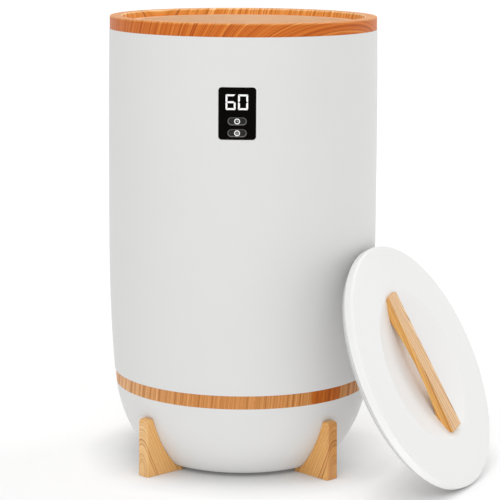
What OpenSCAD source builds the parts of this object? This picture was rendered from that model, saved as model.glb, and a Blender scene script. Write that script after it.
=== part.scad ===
// Towel warmer bucket: a tall round heated bucket on four wooden feet. A wooden ring goes round its
// mouth and a wooden band round the foot of its body. A dished lid with a bar handle is off the
// bucket and leans on its side. Millimetres, +Z up, front towards -Y. The origin is the centre of
// the flat underside of the base, on the bucket's axis.

/* [Overall] */
// Height from the floor to the top of the wooden ring
total_h = 500; // [410:5:600]
// Radius of the body at its widest
body_r = 150; // [140:1:185]
// Gap between the floor and the flat underside of the base
floor_gap = 4; // [3:0.5:8]
// Clearance of pieces that drop into each other
fit = 0.3; // [0.2:0.05:0.5]

/* [Body shell] */
// Wall of the moulded body shell
shell_wall = 2.5; // [2:0.1:3.5]
// How much narrower the shell is at its top edge than at its widest
top_draw = 1.8; // [0.6:0.1:4]
// How much narrower the shell is at its lower edge than at its widest
low_draw = 5.2; // [4:0.1:8]
// Height above the underside where the shell starts to narrow upwards
belly_z = 291; // [260:1:320]
// Length of the straight stretch below that height
straight_h = 55; // [30:1:80]
// Width of the inward lip that clamps the shell at its lower edge
lip_w = 10; // [8:0.5:13]
// Thickness of that lip
lip_t = 2; // [1.5:0.1:3]

/* [Wooden ring] */
// Height of the ring that shows
ring_h = 14; // [11:0.5:20]
// Width of the ring's flat top
ring_w = 13.4; // [11:0.2:16]
// How far the ring sits inside the shell's outer edge
ring_step = 0.5; // [0:0.1:1.2]
// Depth of the wooden wall inside the mouth, down to the chamber's flange
mouth_depth = 7; // [6.8:0.1:9]
// Rounding of the ring's top edges
ring_round = 1.2; // [0.4:0.1:2]
// Height of the spigot that reaches down into the shell
spigot_h = 4; // [3:0.5:8]

/* [Heated chamber] */
// Distance from the body's widest radius in to the chamber's wall
jacket = 26; // [25:0.5:32]
// Thickness of the aluminium chamber
liner_t = 1.2; // [0.8:0.1:2]
// Radius where the chamber's wall turns into its floor
chamber_corner = 14; // [8:1:24]
// Height of the chamber's floor above the wooden band
under_chamber = 22; // [21:1:40]
// Width of the pocket edge that the flange drops into, measured in from the mouth
flange_step = 1.3; // [1:0.1:2]
// Height of the heater wrap round the chamber
wrap_h = 160; // [100:5:200]
// Number of turns of heating cord on the wrap
wrap_turns = 8; // [4:1:10]
// Thickness of the insulating sleeve
sleeve_t = 6.7; // [4:0.1:7]
// Thickness of the insulating disc under the chamber
disc_t = 12; // [6:0.5:13]

/* [Base] */
// Height of the wooden band's upper edge above the underside
base_h = 99; // [92:1:110]
// Height of the wooden band
band_h = 15; // [10:0.5:18]
// Step in from the shell's lower edge to the band
band_step = 1.2; // [0.4:0.1:2]
// Radial thickness of the band
band_t = 8; // [6:0.5:9]
// Radius of the side curve of the base
side_curve_r = 142; // [134:0.5:150]
// Radius of the heel curve between the side and the flat underside
heel_curve_r = 18; // [12:0.5:26]
// Wall of the moulded base
base_wall = 3; // [2.4:0.1:4]
// Width of the flat ring left round the bottom cover
cover_margin = 24; // [16:0.5:30]
// Thickness of the bottom cover
cover_t = 2.5; // [2:0.1:4]
// Thickness of the inner deck above the base
deck_t = 3; // [2:0.5:4]

/* [Feet] */
// Width of a foot at the floor
foot_w = 16; // [12:0.5:24]
// Width of a foot at its top
foot_top_w = 14.5; // [11:0.5:22]
// Height of a foot's top above the underside of the base
foot_h = 61; // [48:1:70]
// How far a foot's outer face stands proud of the band
foot_proud = 3.9; // [3:0.1:12]
// Length of a foot along the floor
foot_l = 52; // [46:1:60]
// Rounding of the outer top corner
foot_round = 3; // [1:0.5:5]
// Gap between a foot's saddle and the base
saddle_gap = 0.1; // [0.05:0.05:0.3]
// How deep the foot screws bite into the wood
screw_bite = 11; // [8:1:12]

/* [Control panel] */
// Height of the panel's centre below the top of the wooden ring
panel_down = 93; // [60:1:110]
// Dark margin beside the digits
panel_side_margin = 7.9; // [5:0.1:10]
// Dark margin above the digits
panel_top_margin = 7.1; // [5:0.1:10]
// Dark margin below the lower button
panel_low_margin = 2.9; // [2.4:0.1:6]
// Gap between the digits and the upper button
digit_gap = 6.9; // [4:0.1:9]
// Corner radius of the window
panel_corner = 3.8; // [2:0.1:6]
// Width of a button
button_w = 20.5; // [14:0.1:24]
// Height of a button
button_h = 8.6; // [6.6:0.1:11]
// Gap between the two buttons
button_space = 3.7; // [3.2:0.1:6]
// Travel of a button
button_travel = 0.8; // [0.5:0.1:1]
// Clearance round a button in the window
button_gap = 0.25; // [0.15:0.05:0.4]
// How far a button stands proud of the window
button_proud = 0.3; // [0.1:0.05:0.6]
// Height of the digits
digit_h = 17.2; // [12:0.1:21]
// Width of a digit
digit_w = 11; // [8:0.1:13.5]
// Gap between the two digits
digit_space = 1.8; // [1:0.1:3]

/* [Lid] */
// How far the lid's edge stays inside the ring's outer face
lid_set_in = 8.7; // [4:0.1:10]
// Thickness of the lid's rim
lid_t = 10; // [8:0.5:14]
// Skin of the lid's upper moulding
lid_skin = 2.5; // [2:0.1:3]
// Rounding of the lid's upper edge
lid_round = 3; // [1:0.1:4]
// Rounding of the lid's lower edge
lid_low_round = 1.5; // [0.5:0.1:2]
// Radius of the dish in the lid's top
dish_r = 86; // [70:1:96]
// Depth of the dish
dish_depth = 16; // [12:0.5:17]
// Rounding of the dish's edge
dish_round = 8; // [3:0.5:12]
// Clearance between the lid's plug and the mouth
plug_gap = 1.8; // [1:0.1:3]
// Depth of the plug
plug_h = 6.5; // [5:0.1:6.6]
// Depth of the housing under the dish
well_h = 13; // [12:0.5:18]
// Lean of the lid away from upright
lean = 26; // [15:1:30]
// Turn of the leaning lid round the bucket, from the front towards +X
lean_turn = 65; // [40:1:120]
// Gap between the leaning lid and the body
lean_gap = 0.3; // [0.2:0.05:0.6]

/* [Lid handle] */
// Length of the handle bar
handle_l = 165; // [120:1:170]
// Width of the handle bar
handle_w = 23; // [16:0.5:30]
// Height of the bar's top above the lid
handle_proud = 3; // [1:0.5:10]
// Thickness of the bar at its middle
handle_t = 7; // [5:0.5:10]
// Drop of the arched underside from its middle to where it meets the dish
handle_drop = 5; // [3:0.5:7]
// Turn of the bar in the lid's face
handle_turn = 8; // [-90:1:90]

/* [Hidden] */
$fn = 96;
curve_fn = 720;
belly_fn = 2160;
eps = 0.01;
white = [0.93, 0.93, 0.92];
wood = [0.82, 0.52, 0.26];
foot_wood = [0.87, 0.66, 0.38];
metal = [0.78, 0.78, 0.79];
dark = [0.05, 0.05, 0.055];
board_green = [0.1, 0.32, 0.2];
felt = [0.86, 0.83, 0.74];
copper = [0.72, 0.42, 0.25];

// Heights
floor_z = -floor_gap;
ring_top_z = total_h - floor_gap;
shell_top_z = ring_top_z - ring_h;
waist_z = belly_z - straight_h;
band_z = base_h - band_h;
deck_z = base_h + lip_t;
deck_top_z = deck_z + deck_t;
chamber_z = base_h + under_chamber;
flange_z = ring_top_z - mouth_depth;
panel_z = ring_top_z - panel_down;

// Shell radii and the two big curves of its side
shell_top_r = body_r - top_draw;
shell_low_r = body_r - low_draw;
top_dz = shell_top_z - belly_z;
low_dz = waist_z - base_h;
top_curve_r = (top_dz * top_dz + top_draw * top_draw) / (2 * top_draw);
low_curve_r = (low_dz * low_dz + low_draw * low_draw) / (2 * low_draw);

// Ring radii
ring_r = shell_top_r - ring_step;
mouth_r = ring_r - ring_w;
pocket_r = mouth_r - flange_step;
spigot_r = shell_top_r - shell_wall - fit;

// Chamber, heater and insulation radii
chamber_r = body_r - jacket;
wrap_r = chamber_r + liner_t + 0.2;
wrap_t = 0.8;
cord_r = 0.7;
sleeve_r = wrap_r + wrap_t + 2 * cord_r + 0.2;
ring_hole_r = chamber_r + liner_t + 0.6;
wrap_z = chamber_z + 20;

// Base curves: side circle and heel circle touch at meet_z
base_r = shell_low_r - band_step;
side_x = base_r - side_curve_r;
heel_x = side_x + sqrt(pow(side_curve_r - heel_curve_r, 2) - pow(base_h - heel_curve_r, 2));
meet_share = (base_h - heel_curve_r) / (side_curve_r - heel_curve_r);
clamp_r = shell_low_r - shell_wall - lip_w;
cover_r = heel_x - cover_margin;
ledge_w = 8;
ledge_t = 3;
cover_screw_r = cover_r - ledge_w / 2;
deck_r = shell_low_r - shell_wall - fit;
pilot_r = 1.3;
shank_r = 1.5;
head_r = 3;
head_h = 2;
boss_rad = 5;
boss_r = min(clamp_r - boss_rad - 4, sleeve_r - head_r - 1);
clear = 30;

// Feet, and the angles below level of the axes of each foot's two screws
foot_turns = [225, 315, 45, 135];
foot_out_r = base_r + foot_proud;
screw_dips = [26, 36];
pad_r = 6;
pad_h = 1.6;

// Cord gland at the rear of the base
gland_z = 40;
gland_flange_r = 7.5;
gland_flange_t = 3;
gland_body_r = 5.5;
gland_bore_r = 3.6;
gland_nut_r = 8.5;
gland_nut_t = 4;
gland_face_y = side_x + sqrt(pow(side_curve_r, 2) - pow(base_h - gland_z + gland_flange_r + 1, 2)) - 1;
gland_boss_t = 7;

// Control board on the bottom cover
board_w = 80;
board_d = 56;
board_t = 1.6;
post_h = 10;
post_r = 3.5;
post_x = board_w / 2 - 5;
post_y = board_d / 2 - 5;
board_z = cover_t + post_h;

// Panel stack, measured inwards from the window's outermost line
panel_h = panel_top_margin + digit_h + digit_gap + 2 * button_h + button_space + panel_low_margin;
panel_w = 2 * panel_side_margin + 2 * digit_w + digit_space;
digit_pitch = digit_w + digit_space;
digit_up = panel_h / 2 - panel_top_margin - digit_h / 2;
button_pitch = button_h + button_space;
button_down = panel_h / 2 - panel_low_margin - button_h / 2 - button_pitch;
function shell_r(z) = body_r - top_curve_r + sqrt(pow(top_curve_r, 2) - pow(max(z - belly_z, 0), 2));
panel_r = shell_r(panel_z);
carrier_rim = 6;
panel_low_z = panel_z - panel_h / 2 - carrier_rim - 2;
panel_high_z = panel_z + panel_h / 2 + carrier_rim + 2;
button_lip = 1.2;
carrier_seat = panel_low_margin - button_lip - 0.4;
bezel_gap = 0.2;
panel_front = -3;
panel_deep = 12;
stack_display = 3.8;
stack_board = 10.2;
display_t = stack_board - stack_display;
display_w = 2 * digit_pitch + 1;
display_h = digit_h + 3.4;
switch_w = 6;
switch_t = 3.5;
plunger_r = 1.7;
plunger_t = 0.8;
panel_board_w = panel_w + 4;
panel_board_h = panel_h + 4;
lip_depth_a = shell_wall + 0.3;
lip_depth_b = shell_wall + 1.4;
stem_r = 2.2;
stem_end = stack_board - switch_t - plunger_t - button_travel - 0.1;
panel_screw_x = panel_w / 2 - 0.4;
panel_screw_y = panel_h / 2 - 0.4;
ribbon_w = 10;
ribbon_t = 1;
ribbon_y = -(panel_r - stack_board - board_t - ribbon_t);
ribbon_in_y = -(boss_r + 2);

// Lid, in its own frame: z = 0 on the seat, z = lid_t on its top
lid_r = ring_r - lid_set_in;
plug_r = mouth_r - plug_gap;
dish_curve_r = (dish_r * dish_r + dish_depth * dish_depth) / (2 * dish_depth);
dish_c = lid_t - dish_depth + dish_curve_r;
dish_edge_x = sqrt(pow(dish_curve_r + dish_round, 2) - pow(dish_c - lid_t + dish_round, 2));
dish_share = dish_curve_r / (dish_curve_r + dish_round);
liner_wall = 2;
well_r = chamber_r - 10;
seal_r = 1;
seal_z = -plug_h / 2;
lid_screw_r = (plug_r + well_r) / 2;
lid_boss_r = 4;
handle_screw_y = handle_l / 2 - 13;
arch_half = 0.75 * handle_l / 2;
arch_r = (arch_half * arch_half + handle_drop * handle_drop) / (2 * handle_drop);
arch_z = lid_t + handle_proud - handle_t - arch_r;
lean_out = body_r + lean_gap
    + max(plug_r * sin(lean) + plug_h * cos(lean), well_r * sin(lean) + well_h * cos(lean));
lean_up = floor_z + (lid_r - lid_low_round) * cos(lean) - lid_low_round * sin(lean) + lid_low_round;

// Half outline of the shell's outside, drawn inset by some wall
module shell_outline(inset, low, high) {
    intersection() {
        union() {
            intersection() {
                translate([body_r - top_curve_r, belly_z])
                    circle(r = top_curve_r - inset, $fn = belly_fn);
                translate([0, belly_z]) square([body_r + 5, top_dz + 2]);
            }
            translate([0, waist_z]) square([body_r - inset, straight_h]);
            intersection() {
                translate([body_r - low_curve_r, waist_z])
                    circle(r = low_curve_r - inset, $fn = curve_fn);
                translate([0, base_h - 2]) square([body_r + 5, low_dz + 2]);
            }
        }
        translate([0, low]) square([body_r + 5, high - low]);
    }
}

// Half outline of the base, from its flat underside up through the band, inset by some wall
module base_outline(inset) {
    meet_z = base_h - (side_curve_r - inset) * meet_share;
    intersection() {
        translate([side_x, base_h]) circle(r = side_curve_r - inset, $fn = curve_fn);
        translate([0, meet_z]) square([base_r, base_h - meet_z]);
    }
    intersection() {
        translate([heel_x, heel_curve_r]) circle(r = heel_curve_r - inset, $fn = curve_fn);
        translate([heel_x, inset]) square([heel_curve_r, base_h - inset]);
    }
    translate([0, inset]) square([heel_x, base_h - inset - 1]);
}

// Half outline of a round tub with a rounded floor corner
module tub_outline(radius, bottom, corner, top) {
    translate([0, bottom + corner]) square([radius, top - bottom - corner]);
    translate([0, bottom]) square([radius - corner, corner + 1]);
    translate([radius - corner, bottom + corner]) circle(r = corner);
}

// Rectangle with round corners, centred
module rounded_rect(w, h, r) {
    square([w - 2 * r, h], center = true);
    square([w, h - 2 * r], center = true);
    for (x = [-1, 1], y = [-1, 1])
        translate([x * (w / 2 - r), y * (h / 2 - r)]) circle(r = r, $fn = 48);
}

// Capsule shape, centred
module capsule(w, h) {
    square([w - h, h], center = true);
    for (x = [-1, 1]) translate([x * (w - h) / 2, 0]) circle(r = h / 2, $fn = 48);
}

// Stands a flat shape up at the front, as a prism that reaches from depth a to depth b
module at_panel(a, b) {
    translate([0, -(panel_r - b), panel_z]) rotate([90, 0, 0]) linear_extrude(b - a) children();
}

// Slice of the body's wall between two depths over the panel's height, drawn as a cone because the
// big curve is all but straight there
module wall_slice(a, b) {
    low_r = shell_r(panel_low_z);
    high_r = shell_r(panel_high_z);
    rotate_extrude($fn = 288)
        polygon([[low_r - b, panel_low_z], [low_r - a, panel_low_z],
                 [high_r - a, panel_high_z], [high_r - b, panel_high_z]]);
}

// Screw with its head's seat at z = 0, its head above and its shank below
module screw(shank_l) {
    cylinder(r = head_r, h = head_h, $fn = 32);
    translate([0, 0, -shank_l]) cylinder(r = shank_r - 0.3, h = shank_l + eps, $fn = 32);
}

// Round wire through a list of points
module wire(points, r) {
    for (i = [0 : len(points) - 2]) {
        step = points[i + 1] - points[i];
        reach = norm(step);
        translate(points[i]) rotate([0, acos(step[2] / reach), atan2(step[1], step[0])])
            cylinder(r = r, h = reach, $fn = 24);
        if (i > 0) translate(points[i]) sphere(r = r + 0.15, $fn = 24);
    }
}

// Puts children on each line that leaves the base square to its side curve, z = 0 on the curve's centre
module on_screw_axes(turn) {
    for (dip = screw_dips)
        rotate([0, 0, turn]) translate([side_x, 0, base_h]) rotate([0, 90 + dip, 0]) children();
}

module around(count, radius, start = 0) {
    for (i = [0 : count - 1]) rotate([0, 0, start + i * 360 / count]) translate([radius, 0, 0]) children();
}

module outer_shell() {
    color(white) difference() {
        rotate_extrude() {
            difference() {
                shell_outline(0, base_h, shell_top_z);
                shell_outline(shell_wall, base_h - 1, shell_top_z + 1);
            }
            translate([clamp_r, base_h]) square([lip_w + shell_wall / 2, lip_t]);
        }
        at_panel(panel_front, panel_deep) rounded_rect(panel_w, panel_h, panel_corner);
    }
}

module rim_ring() {
    color(wood) rotate_extrude() difference() {
        union() {
            translate([pocket_r, shell_top_z]) square([ring_r - pocket_r, ring_h - ring_round]);
            translate([mouth_r + ring_round, shell_top_z]) square([ring_w - 2 * ring_round, ring_h]);
            for (x = [mouth_r + ring_round, ring_r - ring_round])
                translate([x, ring_top_z - ring_round]) circle(r = ring_round, $fn = 48);
            translate([ring_hole_r, shell_top_z - spigot_h])
                square([spigot_r - ring_hole_r, ring_h - mouth_depth - liner_t + spigot_h]);
        }
        translate([0, flange_z]) square([mouth_r, mouth_depth + 1]);
        translate([0, flange_z - liner_t]) square([pocket_r, liner_t + 1]);
    }
}

module chamber_liner() {
    color(metal) rotate_extrude() {
        difference() {
            tub_outline(chamber_r + liner_t, chamber_z - liner_t, chamber_corner + liner_t, flange_z);
            tub_outline(chamber_r, chamber_z, chamber_corner, flange_z + 1);
        }
        translate([chamber_r, flange_z - liner_t])
            square([pocket_r - fit - chamber_r, liner_t]);
    }
}

// Thin heater wrap with a heating cord that runs back and forth round the chamber
module side_heater() {
    gap_turn = 20;
    link_turn = 1;
    link_inset = 0.4;
    pitch = wrap_h / (wrap_turns + 1);
    bed_r = wrap_r + wrap_t - 0.3;
    cord_t = 2 * cord_r + 0.3;
    color(copper) {
        translate([0, 0, wrap_z]) rotate([0, 0, 90 + gap_turn / 4])
            rotate_extrude(angle = 360 - gap_turn / 2)
                translate([wrap_r, 0]) square([wrap_t, wrap_h]);
        rotate([0, 0, 90 + gap_turn]) {
            for (i = [1 : wrap_turns])
                translate([0, 0, wrap_z + i * pitch]) rotate_extrude(angle = 360 - 2 * gap_turn)
                    translate([bed_r, -cord_r]) square([cord_t, 2 * cord_r]);
            for (i = [1 : wrap_turns - 1])
                rotate([0, 0, i % 2 == 0 ? link_inset : 360 - 2 * gap_turn - link_turn - link_inset])
                    translate([0, 0, wrap_z + i * pitch - cord_r]) rotate_extrude(angle = link_turn)
                        translate([bed_r, 0]) square([cord_t, pitch + 2 * cord_r]);
        }
    }
}

// Flat heater under the chamber, with one track that doubles back from ring to ring
module bottom_heater() {
    plate_t = 0.8;
    track_t = 0.6;
    track_w = 4;
    track_pitch = 9;
    inner_r = 44;
    tracks = 5;
    gap_turn = 24;
    far = inner_r + tracks * track_pitch;
    plate_z = chamber_z - liner_t - plate_t;
    color(copper) {
        translate([0, 0, plate_z]) difference() {
            cylinder(r = inner_r + tracks * track_pitch + 6, h = plate_t);
            translate([0, 0, -1]) cylinder(r = inner_r - 4, h = plate_t + 2);
        }
        translate([0, 0, plate_z - track_t]) linear_extrude(track_t) {
            for (i = [0 : tracks - 1]) difference() {
                circle(r = inner_r + i * track_pitch + track_w);
                circle(r = inner_r + i * track_pitch);
                polygon([[0, 0], far * [2, 2 * tan(gap_turn / 2)], far * [2, -2 * tan(gap_turn / 2)]]);
            }
            for (i = [0 : tracks - 2]) mirror([0, i % 2]) rotate(gap_turn / 2 + 1)
                translate([inner_r + i * track_pitch + 1, 0]) square([track_pitch + track_w - 2, track_w]);
        }
    }
}

module insulation_sleeve() {
    top_z = shell_top_z - spigot_h - 1;
    bottom_z = deck_top_z + disc_t - 3;
    color(felt) translate([0, 0, bottom_z]) difference() {
        cylinder(r = sleeve_r + sleeve_t, h = top_z - bottom_z);
        translate([0, 0, -1]) cylinder(r = sleeve_r, h = top_z - bottom_z + 2);
    }
}

module insulation_disc() {
    color(felt) translate([0, 0, deck_top_z]) difference() {
        cylinder(r = boss_r - head_r - 1, h = disc_t);
        translate([0, 0, -1]) cylinder(r = 40, h = disc_t + 2);
        translate([-ribbon_w, -chamber_r, -1]) cube([2 * ribbon_w, chamber_r - boss_r + 12, disc_t + 2]);
    }
}

// Snap disc thermostat held to the chamber's floor
module thermostat() {
    place = [22, 0, chamber_z - liner_t];
    cap = [8, 3];
    case = [7.5, 6];
    tab = [0.8, 5, 6];
    tab_pitch = 8;
    translate(place) {
        color(metal) translate([0, 0, -cap[1]]) cylinder(r = cap[0], h = cap[1], $fn = 48);
        color(dark) translate([0, 0, -cap[1] - case[1]]) cylinder(r = case[0], h = case[1] + eps, $fn = 48);
        color(metal) for (x = [-1, 1])
            translate([x * tab_pitch / 2 - tab[0] / 2, -tab[1] / 2, -cap[1] - case[1] - tab[2]])
                cube(tab + [0, 0, eps]);
    }
}

// Fuse in a metal clip that holds it to the chamber's floor
module thermal_fuse() {
    place = [0, -22, chamber_z - liner_t];
    clip = [20, 6, 5];
    fuse_r = 2.1;
    fuse_l = 16;
    drop = 2.6;
    translate(place) {
        color(metal) difference() {
            translate([-clip[0] / 2, -clip[1] / 2, -clip[2]]) cube(clip);
            translate([-clip[0] / 2 - 1, 0, -drop]) rotate([0, 90, 0])
                cylinder(r = fuse_r + 0.1, h = clip[0] + 2, $fn = 32);
        }
        color(white) translate([-fuse_l / 2, 0, -drop]) rotate([0, 90, 0])
            cylinder(r = fuse_r, h = fuse_l, $fn = 32);
    }
}

module temperature_sensor() {
    place = [-20, 12, chamber_z - liner_t];
    holder = [3.5, 4];
    tip = [2, 5];
    translate(place) {
        color(dark) translate([0, 0, -holder[1]]) cylinder(r = holder[0], h = holder[1], $fn = 32);
        color(metal) translate([0, 0, -holder[1] - tip[1]])
            cylinder(r = tip[0], h = tip[1] + eps, $fn = 32);
    }
}

// Deck that clamps the shell's lip onto the band, with a rib that carries the insulating sleeve
module inner_deck() {
    rib_gap = 24;
    color(white) difference() {
        union() {
            translate([0, 0, deck_z]) cylinder(r = deck_r, h = deck_t);
            rotate([0, 0, rib_gap / 2 - 90]) translate([0, 0, deck_top_z - 1])
                rotate_extrude(angle = 360 - rib_gap)
                    translate([sleeve_r, 0]) square([3, disc_t - 3 + 1]);
        }
        translate([0, 0, deck_z - 1]) cylinder(r = 18, h = deck_t + 2);
        translate([-ribbon_w / 2 - 2, ribbon_in_y - 3, deck_z - 1]) cube([ribbon_w + 4, 8, deck_t + 2]);
        around(6, boss_r) translate([0, 0, deck_z - 1]) cylinder(r = shank_r, h = deck_t + 2, $fn = 32);
    }
}

module deck_screws() {
    color(metal) around(6, boss_r) translate([0, 0, deck_top_z]) screw(14);
}

module base_band() {
    color(wood) rotate_extrude() intersection() {
        base_outline(0);
        translate([base_r - band_t, band_z]) square([band_t + 1, band_h]);
    }
}

module bowl_space(inset) {
    rotate_extrude() base_outline(inset);
}

module base_bowl() {
    color(white) difference() {
        union() {
            rotate_extrude() intersection() {
                difference() {
                    base_outline(0);
                    base_outline(base_wall);
                }
                square([base_r, band_z]);
            }
            // Rim that the band stands on
            rotate_extrude() translate([clamp_r, band_z - 3])
                square([base_r - base_wall / 2 - clamp_r - 1, 3]);
            // Ledge round the bottom cover
            translate([0, 0, cover_t]) cylinder(r = cover_r + 3, h = ledge_t);
            around(4, cover_screw_r) cylinder(r = 4, h = 12, $fn = 48);
            // Bosses that take the deck's screws
            intersection() {
                around(6, boss_r) cylinder(r = boss_rad, h = deck_z, $fn = 48);
                union() {
                    bowl_space(base_wall / 2);
                    translate([0, 0, band_z]) cylinder(r = clamp_r, h = deck_z - band_z);
                }
            }
            // Flat pads under the foot screws' heads
            for (turn = foot_turns) on_screw_axes(turn)
                translate([0, 0, side_curve_r - base_wall - pad_h])
                    cylinder(r = pad_r, h = base_wall / 2 + pad_h, $fn = 48);
            // Boss behind the cord gland
            intersection() {
                translate([0, gland_face_y - gland_boss_t, gland_z]) rotate([-90, 0, 0])
                    cylinder(r = gland_flange_r + 4, h = gland_boss_t + 20);
                bowl_space(base_wall / 2);
            }
        }
        // Bottom opening and its ledge's hole
        translate([0, 0, -1]) cylinder(r = cover_r + fit, h = cover_t + 1);
        difference() {
            translate([0, 0, -1]) cylinder(r = cover_r - ledge_w, h = cover_t + ledge_t + 2);
            around(4, cover_screw_r) cylinder(r = 4, h = 12, $fn = 48);
        }
        around(4, cover_screw_r) {
            translate([0, 0, -1]) cylinder(r = pilot_r, h = 12, $fn = 32);
            translate([0, 0, -1]) cylinder(r = 5, h = cover_t + 1, $fn = 48);
        }
        around(6, boss_r) translate([0, 0, deck_z - 15]) cylinder(r = pilot_r, h = 16, $fn = 32);
        for (turn = foot_turns) on_screw_axes(turn) translate([0, 0, side_curve_r - clear])
            cylinder(r = shank_r, h = clear + 1, $fn = 32);
        translate([0, gland_face_y, gland_z]) rotate([-90, 0, 0]) {
            cylinder(r = gland_flange_r + fit, h = 30);
            translate([0, 0, -gland_boss_t - 1]) cylinder(r = gland_body_r + 0.15, h = gland_boss_t + 2);
        }
    }
}

// Bottom cover with the posts that carry the control board
module bottom_cover() {
    slot_l = 22;
    color(white) difference() {
        union() {
            cylinder(r = cover_r, h = cover_t);
            for (x = [-1, 1], y = [-1, 1]) translate([x * post_x, y * post_y, cover_t - eps])
                cylinder(r = post_r, h = post_h + eps, $fn = 48);
        }
        around(4, cover_screw_r) {
            translate([0, 0, -1]) cylinder(r = shank_r, h = cover_t + 2, $fn = 32);
            translate([0, 0, -1]) cylinder(r = head_r + 0.2, h = 1 + 1.2, $fn = 32);
        }
        for (x = [-1, 1], y = [-1, 1]) translate([x * post_x, y * post_y, cover_t + 1])
            cylinder(r = pilot_r, h = post_h, $fn = 32);
        for (i = [-2.5 : 2.5]) translate([i * 7, 0, -1])
            linear_extrude(cover_t + 2) rotate(90) capsule(slot_l, 2.4);
    }
}

module cover_screws() {
    color(metal) around(4, cover_screw_r) translate([0, 0, 1.2]) rotate([180, 0, 0])
        intersection() {
            screw(9);
            translate([0, 0, -20]) cylinder(r = head_r, h = 20 + 1.1, $fn = 32);
        }
}

// Wooden foot: a tapered slab whose inner side is a saddle for the base
module foot(turn) {
    inner_r = foot_out_r - foot_l;
    top_z = foot_h;
    span_h = foot_h + floor_gap;
    color(foot_wood) rotate([0, 0, turn]) difference() {
        intersection() {
            rotate([90, 0, 0]) translate([0, 0, -foot_w / 2]) linear_extrude(foot_w) {
                translate([inner_r, floor_z]) square([foot_l, span_h - foot_round]);
                translate([inner_r, floor_z]) square([foot_l - foot_round, span_h]);
                translate([foot_out_r - foot_round, top_z - foot_round]) circle(r = foot_round, $fn = 48);
            }
            rotate([90, 0, 90]) translate([0, 0, inner_r]) linear_extrude(foot_l)
                polygon([[-foot_w / 2, floor_z], [foot_w / 2, floor_z],
                         [foot_top_w / 2, top_z], [-foot_top_w / 2, top_z]]);
        }
        bowl_space(-saddle_gap);
        on_screw_axes(0) translate([0, 0, side_curve_r - clear])
            cylinder(r = pilot_r, h = clear + screw_bite + 2, $fn = 32);
    }
}

module foot_front_left() { foot(foot_turns[0]); }
module foot_front_right() { foot(foot_turns[1]); }
module foot_rear_right() { foot(foot_turns[2]); }
module foot_rear_left() { foot(foot_turns[3]); }

module foot_screws() {
    reach = base_wall + pad_h + screw_bite;
    color(metal) for (turn = foot_turns) on_screw_axes(turn)
        translate([0, 0, side_curve_r - base_wall - pad_h]) rotate([180, 0, 0]) screw(reach);
}

module control_board() {
    color(board_green) difference() {
        translate([-board_w / 2, -board_d / 2, board_z]) cube([board_w, board_d, board_t]);
        for (x = [-1, 1], y = [-1, 1]) translate([x * post_x, y * post_y, board_z - 1])
            cylinder(r = shank_r, h = board_t + 2, $fn = 32);
    }
}

// Corner and size of each boxed part on the control board
relay = [[-28, -8, 0], [19, 15.5, 15.5]];
film_capacitor = [[-4, -20, 0], [17.5, 8, 14]];
supply_block = [[12, -4, 0], [20, 18, 15]];
choke = [[-8, 14, 0], [20, 10, 12]];
heater_socket = [[-24, 13, 0], [12, 6, 7]];
display_socket = [[-7, -26, 0], [14, 5.5, 7]];
// Centre, radius and height of each round part
big_capacitor = [[0, 2, 0], 5, 18];
small_capacitor = [[20, -20, 0], 3.2, 11];

module board_parts() {
    translate([0, 0, board_z + board_t]) {
        color([0.1, 0.2, 0.5]) translate(relay[0]) cube(relay[1]);
        color([0.9, 0.75, 0.2]) translate(film_capacitor[0]) cube(film_capacitor[1]);
        color(dark) translate(supply_block[0]) cube(supply_block[1]);
        color([0.2, 0.5, 0.25]) translate(choke[0]) cube(choke[1]);
        color(white) for (socket = [heater_socket, display_socket]) translate(socket[0]) cube(socket[1]);
        color([0.15, 0.15, 0.18]) for (can = [big_capacitor, small_capacitor])
            translate(can[0]) cylinder(r = can[1], h = can[2], $fn = 48);
    }
}

module board_screws() {
    color(metal) for (x = [-1, 1], y = [-1, 1])
        translate([x * post_x, y * post_y, board_z + board_t]) screw(8);
}

module cord_gland() {
    color(dark) difference() {
        translate([0, gland_face_y, gland_z]) rotate([-90, 0, 0]) {
            cylinder(r = gland_flange_r, h = gland_flange_t);
            translate([0, 0, -gland_boss_t - gland_nut_t])
                cylinder(r = gland_body_r, h = gland_boss_t + gland_nut_t + eps);
        }
        translate([0, gland_face_y - gland_boss_t - gland_nut_t - 1, gland_z]) rotate([-90, 0, 0])
            cylinder(r = gland_bore_r, h = gland_boss_t + gland_nut_t + gland_flange_t + 2);
    }
}

module gland_nut() {
    color(dark) translate([0, gland_face_y - gland_boss_t, gland_z]) rotate([90, 0, 0]) difference() {
        cylinder(r = gland_nut_r, h = gland_nut_t - 0.2, $fn = 6);
        translate([0, 0, -1]) cylinder(r = gland_body_r + 0.1, h = gland_nut_t + 2);
    }
}

// Two insulated leads from the board's socket up through the deck to the heaters
module heater_leads() {
    lead_r = 1.1;
    top = board_z + board_t + heater_socket[1][2];
    socket_x = heater_socket[0][0] + 3;
    socket_y = heater_socket[0][1] + 3;
    hole_y = 4;
    turn_z = 60;
    hole_z = 84;
    run_y = 34;
    color([0.7, 0.15, 0.1]) for (s = [0, 1])
        wire([[socket_x + 6 * s, socket_y, top], [socket_x + 6 * s, socket_y, turn_z + 4 * s],
              [-5 + 10 * s, hole_y, hole_z], [-5 + 10 * s, hole_y, deck_top_z + 4],
              [-5 + 10 * s, run_y, deck_top_z + 5]], lead_r);
}

// Live and neutral from behind the gland to the board's terminals
module supply_leads() {
    lead_r = 1.4;
    start_y = gland_face_y - gland_boss_t - gland_nut_t - 5;
    top = board_z + board_t + choke[1][2];
    end_y = choke[0][1] + 5;
    color([0.35, 0.2, 0.1]) for (s = [-1, 1])
        wire([[2 + 4 * s, end_y, top], [2 + 4 * s, end_y, top + 8], [2 + 4 * s, start_y - 20, gland_z],
              [s * 1.8, start_y, gland_z]], lead_r);
}

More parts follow.
